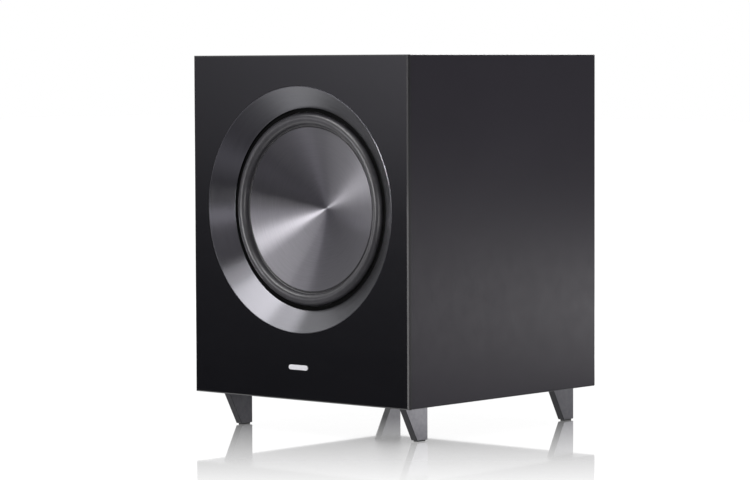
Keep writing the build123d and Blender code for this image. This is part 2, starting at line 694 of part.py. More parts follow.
def reservoir_capacitors():
    z = BASE_Z + 160.0
    cans = []
    for x in (-40.0, -12.0, 16.0):
        can = Cylinder(11.0, 32.0, align=(Align.CENTER, Align.CENTER, Align.MIN))
        can = fillet(can.edges().group_by(Axis.Z)[-1], 1.2)
        cans.append(Pos(x, FRONT_Y + COVER_DEPTH + 28.0, z) * can)
    return Compound(children=cans)


def transformer_bolt_places():
    x, z = TRANSFORMER_AT[0], BASE_Z + TRANSFORMER_AT[1]
    return [(x + dx, z + dz) for dx in (-24.0, 24.0) for dz in (-19.5, 19.5)]


def transformer_core():
    x, z = TRANSFORMER_AT[0], BASE_Z + TRANSFORMER_AT[1]
    core = block((x - 28, x + 28), CORE_DEPTHS, (z - 23.5, z + 23.5))
    cut = (CORE_DEPTHS[0] - 1, CORE_DEPTHS[1] + 1)
    for near in (x - 18.7, x + 9.3):
        core -= block((near, near + 9.4), cut, (z - 14, z + 14))
    for bolt_x, bolt_z in transformer_bolt_places():
        core -= disc(1.8, cut, bolt_x, bolt_z)
    return core


def transformer_coil():
    x, z = TRANSFORMER_AT[0], BASE_Z + TRANSFORMER_AT[1]
    coil = block((x - 18.4, x + 18.4), (CORE_DEPTHS[0] - 8, CORE_DEPTHS[1] + 8), (z - 13.8, z + 13.8))
    coil = fillet(coil.edges().filter_by(Axis.Z), 5.0)
    return coil - block((x - 9.3, x + 9.3), CORE_DEPTHS, (z - 15, z + 15))


# ---------------------------------------------------------------- feet

def foot(side, rear_edge):
    """Upright fin, parallel to the cabinet's side, with a raked front edge."""
    outline = Polyline(
        (rear_edge - FOOT_TOP, FOOT_HEIGHT),
        (rear_edge, FOOT_HEIGHT),
        (rear_edge, PAD),
        (rear_edge - FOOT_BOTTOM, PAD),
        close=True,
    )
    face = make_face(outline)
    low = face.vertices().group_by(Axis.Y)[0]
    face = fillet(low, FOOT_CORNER_R)
    outer = WIDTH / 2 - FOOT_INSET
    start = outer - FOOT_THICKNESS if side > 0 else -outer
    fin = Pos(start, FRONT_Y, 0) * extrude(Plane.YZ * face, FOOT_THICKNESS)
    sides = fin.faces().group_by(Axis.X)
    rims = (sides[0] + sides[-1]).edges().filter_by(lambda e: e.center().Z < FOOT_HEIGHT - 0.1)
    fin = fillet(rims, FOOT_RIM_R)
    for x, depth in foot_screw_places():
        fin -= Pos(x, FRONT_Y + depth, FOOT_HEIGHT - 6.0) * Cylinder(1.9, 12.1)
    return fin


def foot_pads():
    pads = []
    middle_x = WIDTH / 2 - FOOT_INSET - FOOT_THICKNESS / 2
    for side in (-1, 1):
        for edge in (FRONT_FOOT_REAR_EDGE, REAR_FOOT_REAR_EDGE):
            pad = Box(5.6, FOOT_BOTTOM - 4.4, PAD, align=(Align.CENTER, Align.CENTER, Align.MIN))
            pads.append(Pos(side * middle_x, FRONT_Y + edge - FOOT_BOTTOM / 2, 0) * pad)
    return Compound(children=pads)


def foot_screws():
    seat = BASE_Z + BOARD
    foot_screw = screw(4.0, 2.4, 1.9, BOARD + 11.0)
    screws = [Pos(x, FRONT_Y + depth, seat) * foot_screw for x, depth in foot_screw_places()]
    return Compound(children=screws)


# ---------------------------------------------------------------- assembly

def parts():
    tube = wrap()
    driver_holes = [(x, DRIVER_Z + z) for x, z in around(8, DRIVER_SCREW_R, 22.5)]
    return {
        "top_board": mitred_board(tube, 0),
        "bottom_board": bottom_board(tube),
        "left_board": mitred_board(tube, 270),
        "right_board": mitred_board(tube, 90),
        "front_panel": front_panel(),
        "outer_baffle": baffle((PANEL, POCKET_DEPTH), POCKET_R),
        "inner_baffle": inner_baffle(),
        "rear_board": rear_board(),
        "window_brace": window_brace(),
        "trim_ring": trim_ring(),
        "badge_bar": badge(),
        "diaphragm": diaphragm(),
        "surround": surround(),
        "driver_basket": driver_basket(),
        "driver_seal": driver_seal(),
        "driver_screws": screws_at(driver_holes, FLANGE_DEPTH, FROM_FRONT, (2.9, 1.8, 1.9, 15.0)),
        "spider": spider(),
        "voice_coil_former": voice_coil_former(),
        "voice_coil": disc(FORMER_R + 1.7, COIL_DEPTHS, 0, DRIVER_Z, FORMER_R + 0.5),
        "front_plate": disc(54.0, (PLATE_DEPTH, 90.0), 0, DRIVER_Z, GAP_R),
        "magnet": disc(60.0, (90.0, 108.0), 0, DRIVER_Z, 31.0),
        "yoke": yoke(),
        "terminal_strip": terminal_strip(),
        "terminal_tabs": terminal_tabs(),
        "tinsel_leads": tinsel_leads(),
        "speaker_lead": speaker_lead(),
        "port_tube": port_tube(),
        "amp_plate": amp_plate(),
        "amp_gasket": amp_gasket(),
        "amp_cover": amp_cover(),
        "amp_plate_screws": screws_at(amp_plate_screw_places(), AMP_FACE, FROM_REAR, (3.2, 2.2, 1.7, 14.0)),
        "cover_screws": screws_at(cover_screw_places(), AMP_FACE, FROM_REAR, (2.9, 2.0, 1.8, 8.0)),
        "heat_sink": heat_sink(),
        "level_potentiometer": potentiometer(LEVEL_AT),
        "level_shaft": knob_shaft(LEVEL_AT),
        "level_knob": knob(LEVEL_AT),
        "crossover_potentiometer": potentiometer(CROSSOVER_AT),
        "crossover_shaft": knob_shaft(CROSSOVER_AT),
        "crossover_knob": knob(CROSSOVER_AT),
        "phase_switch_body": phase_switch_body(),
        "phase_slider": phase_slider(),
        "power_switch_body": power_switch_body(),
        "power_rocker": power_rocker(),
        "mains_inlet": mains_inlet(),
        "mains_inlet_pins": mains_inlet_pins(),
        "input_jack_block": input_jack_block(),
        "input_jack_sleeves": input_jack_sleeves(),
        "status_light": status_light(),
        "control_board": control_board(),
        "amplifier_board": amplifier_board(),
        "output_transistors": output_transistors(),
        "reservoir_capacitors": reservoir_capacitors(),
        "transformer_core": transformer_core(),
        "transformer_coil": transformer_coil(),
        "front_left_foot": foot(-1, FRONT_FOOT_REAR_EDGE),
        "front_right_foot": foot(1, FRONT_FOOT_REAR_EDGE),
        "rear_left_foot": foot(-1, REAR_FOOT_REAR_EDGE),
        "rear_right_foot": foot(1, REAR_FOOT_REAR_EDGE),
        "foot_pads": foot_pads(),
        "foot_screws": foot_screws(),
    }


os.makedirs("parts", exist_ok=True)
for name, shape in parts().items():
    export_step(shape, f"parts/{name}.step")
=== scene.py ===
import math

import bmesh
import bpy
from mathutils import Matrix, Vector

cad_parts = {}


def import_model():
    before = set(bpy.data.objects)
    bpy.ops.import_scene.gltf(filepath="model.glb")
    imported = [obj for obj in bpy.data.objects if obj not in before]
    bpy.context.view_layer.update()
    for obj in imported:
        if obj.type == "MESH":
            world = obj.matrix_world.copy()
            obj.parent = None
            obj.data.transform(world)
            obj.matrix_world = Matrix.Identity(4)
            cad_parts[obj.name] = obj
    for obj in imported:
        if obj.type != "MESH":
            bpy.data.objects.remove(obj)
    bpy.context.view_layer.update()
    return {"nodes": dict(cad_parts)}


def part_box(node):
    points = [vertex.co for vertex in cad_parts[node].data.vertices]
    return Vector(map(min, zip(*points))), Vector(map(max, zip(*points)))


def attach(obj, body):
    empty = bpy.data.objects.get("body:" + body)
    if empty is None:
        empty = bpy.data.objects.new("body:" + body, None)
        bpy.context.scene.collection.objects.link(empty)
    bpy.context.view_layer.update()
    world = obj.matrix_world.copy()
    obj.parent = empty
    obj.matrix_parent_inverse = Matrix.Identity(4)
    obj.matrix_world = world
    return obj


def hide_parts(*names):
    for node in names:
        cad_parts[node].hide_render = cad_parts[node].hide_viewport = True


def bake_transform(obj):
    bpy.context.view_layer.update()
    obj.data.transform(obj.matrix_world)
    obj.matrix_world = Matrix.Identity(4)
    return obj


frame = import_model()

NODES = frame["nodes"]
MM = 0.001
TWO_PI = 2 * math.pi

# Sizes in millimetres, measured on the frame. Depths run back from the front panel's face.
FRONT_Y = (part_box("front_panel")[0] / MM).y
RING_LO, RING_HI = (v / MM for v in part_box("trim_ring"))
DISH_LO, DISH_HI = (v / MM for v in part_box("diaphragm"))
DRIVER_Z = (DISH_LO.z + DISH_HI.z) / 2
RING_R = (RING_HI.x - RING_LO.x) / 2
DISH_R = (DISH_HI.x - DISH_LO.x) / 2
RIM_DEPTH = DISH_LO.y - FRONT_Y

# Sizes in millimetres of what the frame holds only as plain solids
DISH_THICKNESS = 0.7
APEX_DEPTH = DISH_HI.y - FRONT_Y - DISH_THICKNESS
SEAT_DEPTH = 18.5
ROLL_NECK_R = 85.2
ROLL_SEAT_R = 98.6
GASKET_R = 98.9

# The level direction in which the main view looks
LOOK = (-0.656, 0.754, 0.0)


# ---------------------------------------------------------------- node materials

class Shader:
    """A Principled material and short ways to add nodes to it."""

    def __init__(self, name, color, roughness, **sockets):
        self.material = bpy.data.materials.new(name)
        self.material.use_nodes = True
        self.tree = self.material.node_tree
        self.surface = self.tree.nodes["Principled BSDF"]
        self.surface.inputs["Base Color"].default_value = (*color, 1.0)
        self.surface.inputs["Roughness"].default_value = roughness
        for socket, value in sockets.items():
            self.surface.inputs[socket.replace("_", " ")].default_value = value
        self.coords = self.node("ShaderNodeTexCoord").outputs["Object"]

    def node(self, kind, links=(), **values):
        made = self.tree.nodes.new(kind)
        for key, value in values.items():
            setattr(made, key, value)
        for socket, source in dict(links).items():
            if isinstance(source, bpy.types.NodeSocket):
                self.tree.links.new(source, made.inputs[socket])
            else:
                made.inputs[socket].default_value = source
        return made

    def math(self, operation, a, b=0.0, c=0.0):
        return self.node("ShaderNodeMath", {0: a, 1: b, 2: c}, operation=operation).outputs[0]

    def vector(self, operation, a, b=(0.0, 0.0, 0.0)):
        return self.node("ShaderNodeVectorMath", {0: a, 1: b}, operation=operation)

    def parts(self, source):
        """The x, y and z of a vector."""
        return self.node("ShaderNodeSeparateXYZ", {0: source}).outputs

    def scaled(self, factors, source=None):
        """Coordinates stretched by a factor on each axis."""
        return self.vector("MULTIPLY", self.coords if source is None else source, factors).outputs[0]

    def noise(self, scale, detail=3.0, roughness=0.55, source=None):
        links = {"Vector": self.coords if source is None else source, "Scale": scale, "Detail": detail,
                 "Roughness": roughness}
        return self.node("ShaderNodeTexNoise", links).outputs["Fac"]

    def ramp(self, source, low, high, start=0.0, end=1.0):
        """Maps source from the range low..high onto start..end, held at both ends."""
        links = {"Value": source, "From Min": low, "From Max": high, "To Min": start, "To Max": end}
        return self.node("ShaderNodeMapRange", links).outputs["Result"]

    def mixed(self, factor, first, second):
        """Colour between two colours."""
        mix = self.node("ShaderNodeMix", data_type="RGBA")
        self.tree.links.new(factor, mix.inputs["Factor"])
        for socket, value in ((mix.inputs[6], first), (mix.inputs[7], second)):
            if isinstance(value, bpy.types.NodeSocket):
                self.tree.links.new(value, socket)
            else:
                socket.default_value = (*value, 1.0)
        return mix.outputs[2]

    def color(self, factor, first, second):
        self.tree.links.new(self.mixed(factor, first, second), self.surface.inputs["Base Color"])

    def normal(self):
        """Way that the surface faces, before any relief."""
        return self.node("ShaderNodeNewGeometry").outputs["Normal"]

    def along(self, way):
        """Distance along a direction in metres."""
        return self.vector("DOT_PRODUCT", self.coords, way).outputs["Value"]

    def roughness(self, factor, first, second):
        self.tree.links.new(self.ramp(factor, 0.0, 1.0, first, second), self.surface.inputs["Roughness"])

    def bump(self, height, distance, strength=1.0):
        """Adds relief, in metres, on top of any earlier relief."""
        socket = self.surface.inputs["Normal"]
        links = {"Height": height, "Distance": distance, "Strength": strength}
        if socket.links:
            links["Normal"] = socket.links[0].from_socket
        self.tree.links.new(self.node("ShaderNodeBump", links).outputs["Normal"], socket)

    def driver_polar(self):
        """Radius from the driver's axis in metres, and the unit vector away from it."""
        offset = self.vector("SUBTRACT", self.coords, (0.0, 0.0, DRIVER_Z * MM)).outputs[0]
        flat = self.scaled((1.0, 0.0, 1.0), offset)
        return self.vector("LENGTH", flat).outputs["Value"], self.vector("NORMALIZE", flat).outputs[0]

    def rings(self, per_metre, wander, detail=2.0):
        """Noise drawn out round the driver's axis, as lathe marks are."""
        radius, outward = self.driver_polar()
        spread = self.scaled((wander, wander, wander), outward)
        lift = self.node("ShaderNodeCombineXYZ", {"Y": self.math("MULTIPLY", radius, per_metre)}).outputs[0]
        return self.noise(1.0, detail, 0.6, self.vector("ADD", spread, lift).outputs[0])

    def circular_brushing(self, amount):
        """Stretches the highlights across circular brushing."""
        self.surface.inputs["Anisotropic"].default_value = amount
        self.surface.inputs["Anisotropic Rotation"].default_value = 0.25
        tangent = self.node("ShaderNodeTangent", direction_type="RADIAL", axis="Y").outputs[0]
        self.tree.links.new(tangent, self.surface.inputs["Tangent"])

    def edge_wear(self, lo, hi, width):
        """1 along the edges of a box, falling to 0 at a width from them, broken up by noise."""
        near = []
        for part, low, high in zip(self.parts(self.coords), lo, hi):
            inner = self.math("SUBTRACT", part, low)
            outer = self.math("SUBTRACT", high, part)
            near.append(self.math("MINIMUM", inner, outer))
        x, y, z = near
        nearer = self.math("MINIMUM", x, y)
        farther = self.math("MAXIMUM", x, y)
        second = self.math("MAXIMUM", nearer, self.math("MINIMUM", farther, z))
        rough = self.math("MULTIPLY", self.noise(900.0, 4.0), width)
        return self.ramp(self.math("ADD", second, rough), width * 0.55, width * 1.1, 1.0, 0.0)


def cabinet_vinyl():
    """Dark grey vinyl film with a fine pressed grain."""
    lo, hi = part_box("left_board")[0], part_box("right_board")[1]
    s = Shader("cabinet_vinyl", (0.014, 0.012, 0.017), 0.38, Specular_IOR_Level=0.30)
    cloud = s.noise(9.0, 4.0)
    wear = s.edge_wear(lo, hi, 0.0016)
    base = s.mixed(cloud, (0.011, 0.0094, 0.0138), (0.016, 0.0138, 0.0198))
    s.color(s.math("MULTIPLY", wear, 0.8), base, (0.006, 0.006, 0.007))
    s.roughness(s.noise(60.0, 5.0), 0.32, 0.44)
    s.bump(s.noise(2600.0, 2.0), 0.00004, 0.5)
    s.bump(s.noise(420.0, 3.0), 0.00002, 0.35)
    return s.material


def gloss_panel():
    """Polished black acrylic with faint wiping marks and dust, and satin sawn edges."""
    lo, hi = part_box("front_panel")
    s = Shader("gloss_panel", (0.0045, 0.0045, 0.0055), 0.08, Specular_IOR_Level=0.42)
    wear = s.edge_wear(lo, hi, 0.0012)
    dust = s.ramp(s.noise(1400.0, 2.0), 0.70, 0.78)
    base = s.mixed(s.math("MULTIPLY", dust, 0.05), (0.0045, 0.0045, 0.0055), (0.12, 0.12, 0.12))
    s.color(s.math("MULTIPLY", wear, 0.35), base, (0.05, 0.05, 0.055))
    wipes = s.noise(1.0, 4.0, 0.6, s.scaled((14.0, 14.0, 42.0)))
    polish = s.ramp(wipes, 0.0, 1.0, 0.05, 0.13)
    rubbed = s.math("MULTIPLY_ADD", wear, 0.22, polish)
    facing = s.math("ABSOLUTE", s.parts(s.normal())[1])
    sawn = s.ramp(facing, 0.3, 0.6, 0.45, 0.0)
    s.tree.links.new(s.math("MAXIMUM", rubbed, sawn), s.surface.inputs["Roughness"])
    s.bump(s.noise(35.0, 2.0), 0.00003, 0.25)
    return s.material


def spun_metal(name, dark, light, roughness, anisotropy):
    """Dark spun aluminium with lathe marks round the driver's axis."""
    s = Shader(name, dark, roughness, Metallic=1.0)
    s.circular_brushing(anisotropy)
    coarse = s.rings(900.0, 2.2)
    fine = s.rings(5200.0, 5.0)
    s.color(s.math("MULTIPLY_ADD", fine, 0.5, s.math("MULTIPLY", coarse, 0.5)), dark, light)
    s.roughness(coarse, roughness - 0.04, roughness + 0.05)
    s.bump(fine, 0.000012, 0.35)
    return s.material


def edge_rubber():
    """Satin butyl rubber with a trace of bloom and fine moulding lines, turned near black as painted shade
    beyond the roll's seat and at its neck.
    """
    s = Shader("edge_rubber", (0.02, 0.0195, 0.0215), 0.32, Specular_IOR_Level=1.0)
    radius, _ = s.driver_polar()
    roll = s.mixed(s.ramp(s.noise(120.0, 5.0), 0.45, 0.75), (0.019, 0.0185, 0.021), (0.032, 0.031, 0.035))
    fade = 0.0006
    # Painted shade: near black in the gap beyond the roll's seat and in the crease at its neck by the dish.
    seat_gap_shade = s.ramp(radius, ROLL_SEAT_R * MM - fade, ROLL_SEAT_R * MM)
    neck_crease_shade = s.ramp(radius, ROLL_NECK_R * MM, ROLL_NECK_R * MM + fade, 1.0, 0.0)
    s.color(s.math("MAXIMUM", seat_gap_shade, neck_crease_shade), roll, (0.002, 0.002, 0.002))
    s.roughness(s.noise(260.0, 4.0), 0.28, 0.40)
    s.bump(s.rings(1500.0, 1.2), 0.00002, 0.3)
    s.bump(s.noise(1900.0, 2.0), 0.00003, 0.3)
    return s.material


def brushed(name, dark, light, roughness, stretch, metallic=1.0, relief=0.00002):
    """Metal brushed along the axis whose stretch is smallest."""
    s = Shader(name, dark, roughness, Metallic=metallic)
    lines = s.noise(1.0, 3.0, 0.6, s.scaled(stretch))
    s.color(lines, dark, light)
    s.roughness(lines, roughness - 0.06, roughness + 0.08)
    s.bump(lines, relief, 0.4)
    return s.material


def foot_metal():
    """Cast fin with satin broad faces; its edges are darker, as painted shade."""
    s = Shader("foot_metal", (0.15, 0.15, 0.16), 0.38, Metallic=0.65, Specular_IOR_Level=0.5)
    fine = s.mixed(s.noise(240.0, 4.0), (0.09, 0.09, 0.10), (0.165, 0.165, 0.175))
    satin = s.mixed(s.ramp(s.noise(38.0, 3.0), 0.5, 0.8, 0.0, 0.5), fine, (0.22, 0.22, 0.23))
    sideways = s.math("ABSOLUTE", s.parts(s.normal())[0])
    # Painted shade: faces that don't face along X are near black; only the broad faces get the satin colour.
    s.color(s.ramp(sideways, 0.80, 0.97), (0.030, 0.030, 0.033), satin)
    s.roughness(s.noise(700.0, 4.0), 0.30, 0.46)
    s.bump(s.noise(2200.0, 3.0), 0.00005, 0.4)
    return s.material


def moulded(name, dark, light, roughness, grain=1500.0, relief=0.00004, gloss=0.45):
    """Moulded or painted surface with a fine spark texture."""
    s = Shader(name, dark, roughness, Specular_IOR_Level=gloss)
    s.color(s.noise(grain / 12, 4.0), dark, light)
    s.roughness(s.noise(grain / 5, 4.0), roughness - 0.07, roughness + 0.08)
    s.bump(s.noise(grain, 2.0), relief, 0.5)
    return s.material


def fibreboard(name, dark, light):
    """Pressed wood fibre."""
    s = Shader(name, dark, 0.85, Specular_IOR_Level=0.2)
    flecks = s.noise(700.0, 6.0, 0.75)
    s.color(s.ramp(flecks, 0.3, 0.7), dark, light)
    s.roughness(flecks, 0.75, 0.95)
    s.bump(flecks, 0.0001, 0.5)
    return s.material


def woven(name, dark, light, threads_per_metre):
    """Plain weave drawn by two crossed sets of threads."""
    s = Shader(name, dark, 0.8, Specular_IOR_Level=0.2)
    parts = s.parts(s.coords)
    waves = [s.math("SINE", s.math("MULTIPLY", parts[i], TWO_PI * threads_per_metre)) for i in (0, 2)]
    weave = s.ramp(s.math("MULTIPLY", waves[0], waves[1]), -1.0, 1.0)
    s.color(weave, dark, light)
    s.roughness(weave, 0.7, 0.9)
    s.bump(weave, 0.0001, 0.7)
    return s.material


def jack_plastic():
    """Black socket block whose two collars are white on the left and red on the right."""
    lo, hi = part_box("input_jack_block")
    middle = (lo.x + hi.x) / 2
    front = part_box("amp_plate")[1].y - 0.0001
    s = Shader("jack_plastic", (0.02, 0.02, 0.02), 0.4)
    parts = s.parts(s.coords)
    side = s.math("GREATER_THAN", parts[0], middle)
    collar = s.math("GREATER_THAN", parts[1], front)
    ring = s.mixed(side, (0.42, 0.012, 0.012), (0.62, 0.61, 0.58))
    s.color(collar, (0.02, 0.02, 0.02), ring)
    s.roughness(s.noise(500.0, 3.0), 0.30, 0.45)
    s.bump(s.noise(1800.0, 2.0), 0.00003, 0.4)
    return s.material


def lens():
    """Green moulded light pipe."""
    s = Shader("status_lens", (0.05, 0.35, 0.14), 0.15, Transmission_Weight=0.4)
    s.color(s.noise(400.0, 2.0), (0.04, 0.30, 0.12), (0.08, 0.42, 0.18))
    s.roughness(s.noise(900.0, 2.0), 0.10, 0.22)
    return s.material


def print_ink():
    """Off-white screen print."""
    s = Shader("print_ink", (0.62, 0.62, 0.60), 0.5)
    s.color(s.noise(1200.0, 4.0), (0.52, 0.52, 0.50), (0.70, 0.70, 0.68))
    s.roughness(s.noise(700.0, 2.0), 0.42, 0.6)
    return s.material


def dress(material, *names):
    """Gives CAD nodes a finish."""
    for name in names:
        node = NODES[name]
        if not node.material_slots:
            node.data.materials.append(material)
        for place in node.material_slots:
            place.material = material


# ---------------------------------------------------------------- meshes

def link(name, mesh, material):
    piece = bpy.data.objects.new(name, mesh)
    bpy.context.scene.collection.objects.link(piece)
    mesh.materials.append(material)
    return piece


def smooth(mesh, sharp_degrees=32.0):
    """Smooth shading, with edges sharper than an angle kept crisp."""
    work = bmesh.new()
    work.from_mesh(mesh)
    bmesh.ops.recalc_face_normals(work, faces=work.faces)
    for face in work.faces:
        face.smooth = True
    for edge in work.edges:
        edge.smooth = edge.calc_face_angle(0.0) < math.radians(sharp_degrees)
    work.to_mesh(mesh)
    work.free()


def lathe(name, outline, segments):
    """Mesh turned about the driver's axis from a closed outline of (radius, depth) in millimetres."""
    work = bmesh.new()
    loops = []
    for radius, depth in outline:
        y = (FRONT_Y + depth) * MM
        if radius < 0.001:
            loops.append([work.verts.new((0.0, y, DRIVER_Z * MM))])
            continue
        turn = [TWO_PI * i / segments for i in range(segments)]
        loops.append([work.verts.new((radius * MM * math.cos(a), y, (DRIVER_Z + radius * math.sin(a)) * MM))
                      for a in turn])
    for first, second in zip(loops, loops[1:] + loops[:1]):
        for i in range(segments):
            j = (i + 1) % segments
            corners = [first[i % len(first)], first[j % len(first)]]
            corners += [second[j % len(second)], second[i % len(second)]]
            corners = list(dict.fromkeys(corners))
            if len(corners) > 2:
                work.faces.new(corners)
    mesh = bpy.data.meshes.new(name)
    work.to_mesh(mesh)
    work.free()
    smooth(mesh)
    return mesh


def arc(centre, radius, start, end, steps):
    """Points along an arc in the (radius, depth) plane, by angle in degrees from the radial direction."""
    points = []
    for i in range(steps + 1):
        a = math.radians(start + (end - start) * i / steps)
        points.append((centre[0] + radius * math.cos(a), centre[1] + radius * math.sin(a)))
    return points


def dish_depth(radius):
    """Depth of the dish's front, a nearly straight cone."""
    share = (radius / DISH_R) ** 1.4
    return APEX_DEPTH - (APEX_DEPTH - RIM_DEPTH) * share


def dish():
    """Spun metal diaphragm, rolled over a little at its rim."""
    steps = 48
    roll = 0.25
    back_offset = 0.68
    inner = DISH_R - 0.6
    front = [(inner * i / steps, dish_depth(inner * i / steps)) for i in range(steps + 1)]
    rim = [(DISH_R - roll, RIM_DEPTH + 0.1), (DISH_R, RIM_DEPTH + DISH_THICKNESS / 2),
           (DISH_R - roll, RIM_DEPTH + DISH_THICKNESS)]
    back = [(r, depth + back_offset) for r, depth in reversed(front)]
    mesh = lathe("dish", front + rim + back, 256)
    metal = spun_metal("dish_metal", (0.205, 0.202, 0.216), (0.335, 0.33, 0.35), 0.35, 1.0)
    piece = link("dish", mesh, metal)
    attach(piece, "cone")
    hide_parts("diaphragm")


def ring():
    """Dished trim ring: bright outer lip, brushed cone and a rolled inner edge."""
    inner_r, inner_depth = 103.0, 16.5
    lip, corner, rim_depth = 0.7, 0.2, 2.8
    wall, foot_width = 1.6, 1.9
    cone_r = RING_R - lip
    outline = [(RING_R, rim_depth), (RING_R, corner)]
    outline += arc((RING_R - corner, corner), corner, 0, -90, 3)[1:]
    outline.append((cone_r, 0.0))
    steps = 24
    run = cone_r - inner_r - 0.5
    for i in range(1, steps + 1):
        share = i / steps
        outline.append((cone_r - run * share, (inner_depth - 0.4) * share))
    outline += arc((inner_r + 0.3, inner_depth + 0.15), 0.3, 225, 180, 3)
    outline += [(inner_r, inner_depth + wall), (inner_r + foot_width, inner_depth + wall)]
    mesh = lathe("ring", outline, 256)
    metal = spun_metal("ring_metal", (0.13, 0.13, 0.14), (0.24, 0.24, 0.255), 0.24, 0.75)
    piece = link("ring", mesh, metal)
    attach(piece, "cabinet")
    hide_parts("trim_ring")


def sectors(node, mesh, count, material):
    """Splits a turned mesh into equal sectors."""
    normals = [Vector(n.vector) for n in mesh.corner_normals]
    centre = Vector((0.0, 0.0, DRIVER_Z * MM))
    shares = [[] for _ in range(count)]
    for face in mesh.polygons:
        turn = math.atan2(face.center.z - centre.z, face.center.x) % TWO_PI
        shares[int(turn / TWO_PI * count) % count].append(face)
    for index, faces in enumerate(shares):
        used = sorted({v for face in faces for v in face.vertices})
        place = {v: i for i, v in enumerate(used)}
        part = bpy.data.meshes.new(f"{node}_{index + 1:02d}")
        part.from_pydata([mesh.vertices[v].co for v in used], [],
                         [[place[v] for v in face.vertices] for face in faces])
        part.polygons.foreach_set("use_smooth", [True] * len(faces))
        part.normals_split_custom_set([normals[i] for face in faces for i in face.loop_indices])
        piece = link(part.name, part, material)
        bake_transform(piece)
        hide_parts(node)


def surround():
    """Half-roll rubber edge between the basket's flange and the dish."""
    crest, half, rubber, seat = 92.3, 6.2, 0.8, SEAT_DEPTH
    steps = 28
    front = [(GASKET_R, seat + 0.5), (crest + half + 0.3, seat + 0.5)]
    front += arc((crest, seat), half, 0, -180, steps)
    front += [(crest - half - 0.5, seat + 0.35), (DISH_R + 0.9, seat + 0.1)]
    front += [(DISH_R + 0.35, seat + 0.25), (DISH_R + 0.2, seat + 0.9)]
    back = [(DISH_R - 3.2, seat + 2.0), (crest - half, seat + 1.2)]
    back += arc((crest, seat + rubber), half - rubber, 180, 360, steps)
    back += [(GASKET_R, seat + 0.95)]
    mesh = lathe("surround_ring", front + back, 192)
    sectors("surround", mesh, 16, edge_rubber())
    bpy.data.meshes.remove(mesh)


def gasket():
    """Soft ring that clamps the rubber edge to the flange, coloured near black as painted shade of the gap
    between the roll and the trim ring.
    """
    outer, front, back = 104.8, SEAT_DEPTH - 0.1, SEAT_DEPTH + 0.95
    lip = [(GASKET_R, back), (GASKET_R, SEAT_DEPTH + 0.35), (GASKET_R + 0.3, SEAT_DEPTH + 0.1)]
    lip += [(outer, front), (outer, back)]
    # Painted shade: the ring's near-black colour stands for the shade in the gap between the roll and the
    # trim ring.
    soft = moulded("gasket", (0.002, 0.002, 0.002), (0.005, 0.005, 0.005), 0.9, 900.0, 0.0001, 0.05)
    piece = link("surround_gasket", lathe("surround_gasket", lip, 192), soft)
    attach(piece, "cabinet")
    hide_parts("surround")


def spider():
    """Corrugated cloth damper."""
    lo, hi = (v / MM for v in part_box("spider"))
    inner, outer, flat = 25.9, 52.5, (hi.x - lo.x) / 2
    waves, height, thickness = 5, 1.1, 0.55
    middle = (lo.y + hi.y) / 2 - FRONT_Y
    rim = hi.y - FRONT_Y - 0.65
    steps = waves * 12
    front = []
    for i in range(steps + 1):
        share = i / steps
        depth = middle - 1.3 - height * math.cos(TWO_PI * waves * share)
        front.append((inner + (outer - inner) * share, depth))
    front += [(outer + 1.5, rim), (flat, rim)]
    back = [(r, depth + thickness) for r, depth in reversed(front)]
    mesh = lathe("spider_ring", front + back, 96)
    cloth = woven("spider_cloth", (0.30, 0.22, 0.09), (0.62, 0.50, 0.25), 900.0)
    sectors("spider", mesh, 8, cloth)
    bpy.data.meshes.remove(mesh)


def prism(work, outline, y_near, y_far):
    """Adds a closed prism along Y to a bmesh, from (x, z) points in metres."""
    near = [work.verts.new((x, y_near, z)) for x, z in outline]
    far = [work.verts.new((x, y_far, z)) for x, z in outline]
    work.faces.new(near)
    work.faces.new(list(reversed(far)))
    for i in range(len(outline)):
        j = (i + 1) % len(outline)
        work.faces.new((near[j], near[i], far[i], far[j]))


def printed(name, outlines, y, body, thickness=0.00006):
    """Thin ink marks that stand just proud of a face at y, facing the rear."""
    work = bmesh.new()
    for outline in outlines:
        prism(work, outline, y - thickness, y + thickness)
    mesh = bpy.data.meshes.new(name)
    bmesh.ops.recalc_face_normals(work, faces=work.faces)
    work.to_mesh(mesh)
    work.free()
    piece = link(name, mesh, INK)
    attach(piece, body)
    return piece


def ray(angle):
    """Unit vector in the (x, z) plane, at an angle in degrees from +X."""
    return Vector((math.cos(math.radians(angle)), math.sin(math.radians(angle))))


def bar(centre, length, width, angle):
    """Corners of a short bar, at an angle in degrees from +X."""
    along = ray(angle)
    across = Vector((-along.y, along.x))
    corners = ((-1, -1), (1, -1), (1, 1), (-1, 1))
    return [Vector(centre) + along * length * i / 2 + across * width * j / 2 for i, j in corners]


def middle_of(node):
    lo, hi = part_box(node)
    return (lo + hi) / 2


def knob_marks():
    """Scale ticks printed round each knob, and a pointer on the knob itself."""
    ticks, first_angle, step = 11, 240.0, 30.0
    scale_r, tick_width, long_tick, short_tick = 0.0118, 0.0005, 0.0028, 0.0016
    pointer_r, pointer_length, pointer_width, pointer_depth = 0.0056, 0.0066, 0.0011, 0.00015
    chamfer = 0.0004
    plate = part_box("amp_plate")[1].y
    for name in ("level", "crossover"):
        centre = middle_of(f"{name}_knob")
        at = Vector((centre.x, centre.z))
        scale = []
        for i in range(ticks):
            angle = first_angle - step * i
            length = short_tick if i % 5 else long_tick
            scale.append(bar(at + ray(angle) * (scale_r + length / 2), length, tick_width, angle))
        printed(f"{name}_scale", scale, plate, "cabinet")
        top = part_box(f"{name}_knob")[1].y - chamfer
        pointer = bar(at + Vector((0.0, pointer_r)), pointer_length, pointer_width, 90.0)
        mark = printed(f"{name}_pointer", [pointer], top, f"{name}_control", pointer_depth)


